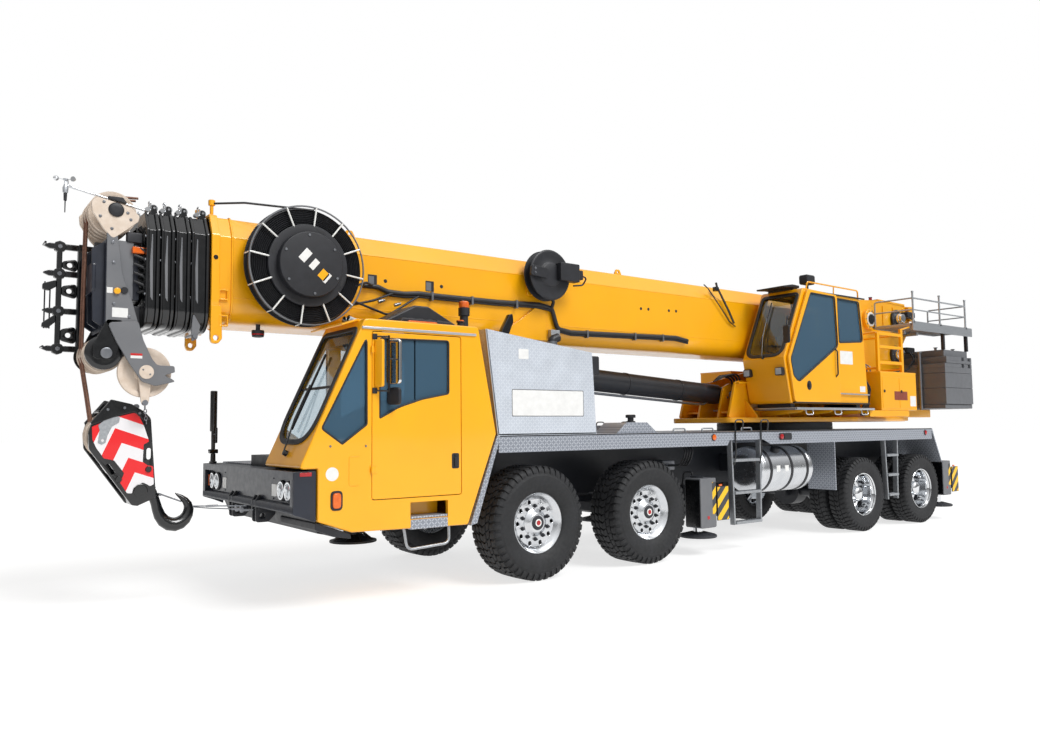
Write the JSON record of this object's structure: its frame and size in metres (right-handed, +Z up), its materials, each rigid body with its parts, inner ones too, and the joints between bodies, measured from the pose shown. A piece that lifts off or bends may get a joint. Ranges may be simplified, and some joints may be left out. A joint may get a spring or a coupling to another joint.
{
  "type": "mobile crane",
  "caption": "Truck-mounted telescopic mobile crane with a low driver's cab, slewing upper works, telescoping boom, hook block and outriggers",
  "frame": {"origin": "on the ground, under the middle of the machine's length and width", "axes": "+X to the front bumper, +Y to the driver's side, +Z up"},
  "size_m": [13.85, 2.682, 3.64],
  "materials": {
    "crane_yellow": "gloss enamel",
    "frame_black": "satin enamel",
    "boom_black": "gloss enamel",
    "head_grey": "satin enamel",
    "counterweight_grey": "satin enamel",
    "hook_red": "enamel with white bars",
    "checker_plate": "raised tread pattern",
    "galvanised": "galvanised",
    "tank_metal": "polished",
    "rim_polished": "polished",
    "rim_chrome": "bright",
    "rod_chrome": "hard chrome",
    "jack_steel": "machined",
    "cast_block": "as cast",
    "tyre_rubber": "matt",
    "glass": "tinted",
    "trim_plastic": "grained",
    "reel_plastic": "satin",
    "sheave_nylon": "cast nylon"
  },
  "bodies": {
    "carrier": {"chassis_frame": "frame_black", "axle_beams": "frame_black", "deck": "checker_plate", "ladders": "galvanised", "side_tanks": "tank_metal", "front_bumper": "frame_black", "carrier_cab": "crane_yellow", "carrier_cab_glass": "glass", "carrier_cab_interior": "trim_plastic", "engine_hood": "checker_plate", "engine_block": "cast_block"},
    "carrier_door": {"carrier_cab_door": "crane_yellow"},
    "turntable_body": {"turntable": "crane_yellow", "counterweight": "counterweight_grey", "side_cabinets": "crane_yellow", "rear_platform": "galvanised", "winches": "cast_block", "crane_cab": "crane_yellow", "crane_cab_glass": "glass", "crane_cab_interior": "trim_plastic"},
    "crane_door": {"crane_cab_door": "crane_yellow"},
    "boom_1": {"boom_base": "crane_yellow", "hose_reels": "reel_plastic"},
    "boom_2": {"boom_section_2": "boom_black"},
    "boom_3": {"boom_section_3": "boom_black"},
    "boom_4": {"boom_section_4": "boom_black"},
    "boom_5": {"boom_section_5": "boom_black"},
    "boom_6": {"boom_head": "head_grey", "head_sheaves": "sheave_nylon"},
    "hook": {"hook_block": "hook_red"},
    "barrel": {"lift_barrel": "frame_black"},
    "rod": {"lift_rod": "rod_chrome"},
    "wheel_1_left": {"tyre_1_left": "tyre_rubber", "rim_1_left": "rim_polished"},
    "knuckle_1_left": {"steering_knuckle_1_left": "frame_black"},
    "wheel_1_right": {"tyre_1_right": "tyre_rubber", "rim_1_right": "rim_polished"},
    "knuckle_1_right": {"steering_knuckle_1_right": "frame_black"},
    "wheel_2_left": {"tyre_2_left": "tyre_rubber", "rim_2_left": "rim_polished"},
    "knuckle_2_left": {"steering_knuckle_2_left": "frame_black"},
    "wheel_2_right": {"tyre_2_right": "tyre_rubber", "rim_2_right": "rim_polished"},
    "knuckle_2_right": {"steering_knuckle_2_right": "frame_black"},
    "wheel_3_left": {"tyre_3_left": "tyre_rubber", "rim_3_left": "rim_chrome"},
    "wheel_3_right": {"tyre_3_right": "tyre_rubber", "rim_3_right": "rim_chrome"},
    "wheel_4_left": {"tyre_4_left": "tyre_rubber", "rim_4_left": "rim_chrome"},
    "wheel_4_right": {"tyre_4_right": "tyre_rubber", "rim_4_right": "rim_chrome"},
    "outrigger_front_left": {"outrigger_beam_front_left": "frame_black"},
    "jack_front_left": {"outrigger_jack_front_left": "jack_steel"},
    "outrigger_front_right": {"outrigger_beam_front_right": "frame_black"},
    "jack_front_right": {"outrigger_jack_front_right": "jack_steel"},
    "outrigger_rear_left": {"outrigger_beam_rear_left": "frame_black"},
    "jack_rear_left": {"outrigger_jack_rear_left": "jack_steel"},
    "outrigger_rear_right": {"outrigger_beam_rear_right": "frame_black"},
    "jack_rear_right": {"outrigger_jack_rear_right": "jack_steel"}
  },
  "joints": [
    {"name": "luff", "type": "hinge", "parent": "turntable_body", "child": "boom_1", "pos_m": [-4.84, 0, 3.25], "axis": [0, -1, 0], "range_deg": [0, 80]},
    {"name": "slew", "type": "hinge", "parent": "carrier", "child": "turntable_body", "pos_m": [-2.87, 0, 1.57], "axis": [0, 0, 1], "continuous": true},
    {"name": "telescope_2", "type": "slide", "parent": "boom_1", "child": "boom_2", "axis": [1, 0, 0], "range_m": [0, 7.6]},
    {"name": "telescope_3", "type": "slide", "parent": "boom_2", "child": "boom_3", "axis": [1, 0, 0], "range_m": [0, 7.6]},
    {"name": "telescope_4", "type": "slide", "parent": "boom_3", "child": "boom_4", "axis": [1, 0, 0], "range_m": [0, 7.6]},
    {"name": "telescope_5", "type": "slide", "parent": "boom_4", "child": "boom_5", "axis": [1, 0, 0], "range_m": [0, 7.6]},
    {"name": "telescope_6", "type": "slide", "parent": "boom_5", "child": "boom_6", "axis": [1, 0, 0], "range_m": [0, 7.6]},
    {"name": "hook_swing", "type": "hinge", "parent": "boom_6", "child": "hook", "pos_m": [6.5, 0, 2.185], "axis": [0, 1, 0], "range_deg": [0, 64.4]},
    {"name": "barrel_turn", "type": "hinge", "parent": "turntable_body", "child": "barrel", "pos_m": [-1.64, 0, 1.97], "axis": [0, -1, 0], "range_deg": [0, 91.65]},
    {"name": "rod_slide", "type": "slide", "parent": "barrel", "child": "rod", "axis": [0.998, 0, 0.0631], "range_m": [0, 4.21728]},
    {"name": "carrier_door_swing", "type": "hinge", "parent": "carrier", "child": "carrier_door", "pos_m": [4.56, 1.293, 1.655], "axis": [0, 0, -1], "range_deg": [0, 75]},
    {"name": "crane_door_slide", "type": "slide", "parent": "turntable_body", "child": "crane_door", "axis": [-1, 0, 0], "range_m": [0, 0.62]},
    {"name": "steer_1_left", "type": "hinge", "parent": "carrier", "child": "knuckle_1_left", "pos_m": [2.68, 0.76, 0.575], "axis": [0, 0, 1], "range_deg": [-32, 32]},
    {"name": "roll_1_left", "type": "hinge", "parent": "knuckle_1_left", "child": "wheel_1_left", "pos_m": [2.68, 1.048, 0.575], "axis": [0, 1, 0], "continuous": true},
    {"name": "steer_1_right", "type": "hinge", "parent": "carrier", "child": "knuckle_1_right", "pos_m": [2.68, -0.76, 0.575], "axis": [0, 0, 1], "range_deg": [-32, 32]},
    {"name": "roll_1_right", "type": "hinge", "parent": "knuckle_1_right", "child": "wheel_1_right", "pos_m": [2.68, -1.048, 0.575], "axis": [0, 1, 0], "continuous": true},
    {"name": "steer_2_left", "type": "hinge", "parent": "carrier", "child": "knuckle_2_left", "pos_m": [1.1, 0.76, 0.575], "axis": [0, 0, 1], "range_deg": [-22.4, 22.4]},
    {"name": "roll_2_left", "type": "hinge", "parent": "knuckle_2_left", "child": "wheel_2_left", "pos_m": [1.1, 1.048, 0.575], "axis": [0, 1, 0], "continuous": true},
    {"name": "steer_2_right", "type": "hinge", "parent": "carrier", "child": "knuckle_2_right", "pos_m": [1.1, -0.76, 0.575], "axis": [0, 0, 1], "range_deg": [-22.4, 22.4]},
    {"name": "roll_2_right", "type": "hinge", "parent": "knuckle_2_right", "child": "wheel_2_right", "pos_m": [1.1, -1.048, 0.575], "axis": [0, 1, 0], "continuous": true},
    {"name": "roll_3_left", "type": "hinge", "parent": "carrier", "child": "wheel_3_left", "pos_m": [-3.26, 0.946, 0.528], "axis": [0, 1, 0], "continuous": true},
    {"name": "roll_3_right", "type": "hinge", "parent": "carrier", "child": "wheel_3_right", "pos_m": [-3.26, -0.946, 0.528], "axis": [0, 1, 0], "continuous": true},
    {"name": "roll_4_left", "type": "hinge", "parent": "carrier", "child": "wheel_4_left", "pos_m": [-4.87, 0.946, 0.528], "axis": [0, 1, 0], "continuous": true},
    {"name": "roll_4_right", "type": "hinge", "parent": "carrier", "child": "wheel_4_right", "pos_m": [-4.87, -0.946, 0.528], "axis": [0, 1, 0], "continuous": true},
    {"name": "outrigger_front_left_slide", "type": "slide", "parent": "carrier", "child": "outrigger_front_left", "axis": [0, 1, 0], "range_m": [0, 1.7]},
    {"name": "jack_front_left_slide", "type": "slide", "parent": "outrigger_front_left", "child": "jack_front_left", "axis": [0, 0, -1], "range_m": [0, 0.55]},
    {"name": "outrigger_front_right_slide", "type": "slide", "parent": "carrier", "child": "outrigger_front_right", "axis": [0, -1, 0], "range_m": [0, 1.7]},
    {"name": "jack_front_right_slide", "type": "slide", "parent": "outrigger_front_right", "child": "jack_front_right", "axis": [0, 0, -1], "range_m": [0, 0.55]},
    {"name": "outrigger_rear_left_slide", "type": "slide", "parent": "carrier", "child": "outrigger_rear_left", "axis": [0, 1, 0], "range_m": [0, 1.7]},
    {"name": "jack_rear_left_slide", "type": "slide", "parent": "outrigger_rear_left", "child": "jack_rear_left", "axis": [0, 0, -1], "range_m": [0, 0.55]},
    {"name": "outrigger_rear_right_slide", "type": "slide", "parent": "carrier", "child": "outrigger_rear_right", "axis": [0, -1, 0], "range_m": [0, 1.7]},
    {"name": "jack_rear_right_slide", "type": "slide", "parent": "outrigger_rear_right", "child": "jack_rear_right", "axis": [0, 0, -1], "range_m": [0, 0.55]}
  ],
  "couplings": [
    {"joint": "telescope_3", "follows": "telescope_2", "ratio": 1},
    {"joint": "telescope_4", "follows": "telescope_2", "ratio": 1},
    {"joint": "telescope_5", "follows": "telescope_2", "ratio": 1},
    {"joint": "telescope_6", "follows": "telescope_2", "ratio": 1},
    {"joint": "hook_swing", "follows": "luff", "ratio": 0.805},
    {"joint": "barrel_turn", "follows": "luff", "ratio": 1.1456},
    {"joint": "rod_slide", "follows": "luff", "m_per_rad": 3.0204},
    {"joint": "steer_1_right", "follows": "steer_1_left", "ratio": 1},
    {"joint": "steer_2_left", "follows": "steer_1_left", "ratio": 0.7},
    {"joint": "steer_2_right", "follows": "steer_1_left", "ratio": 0.7}
  ]
}
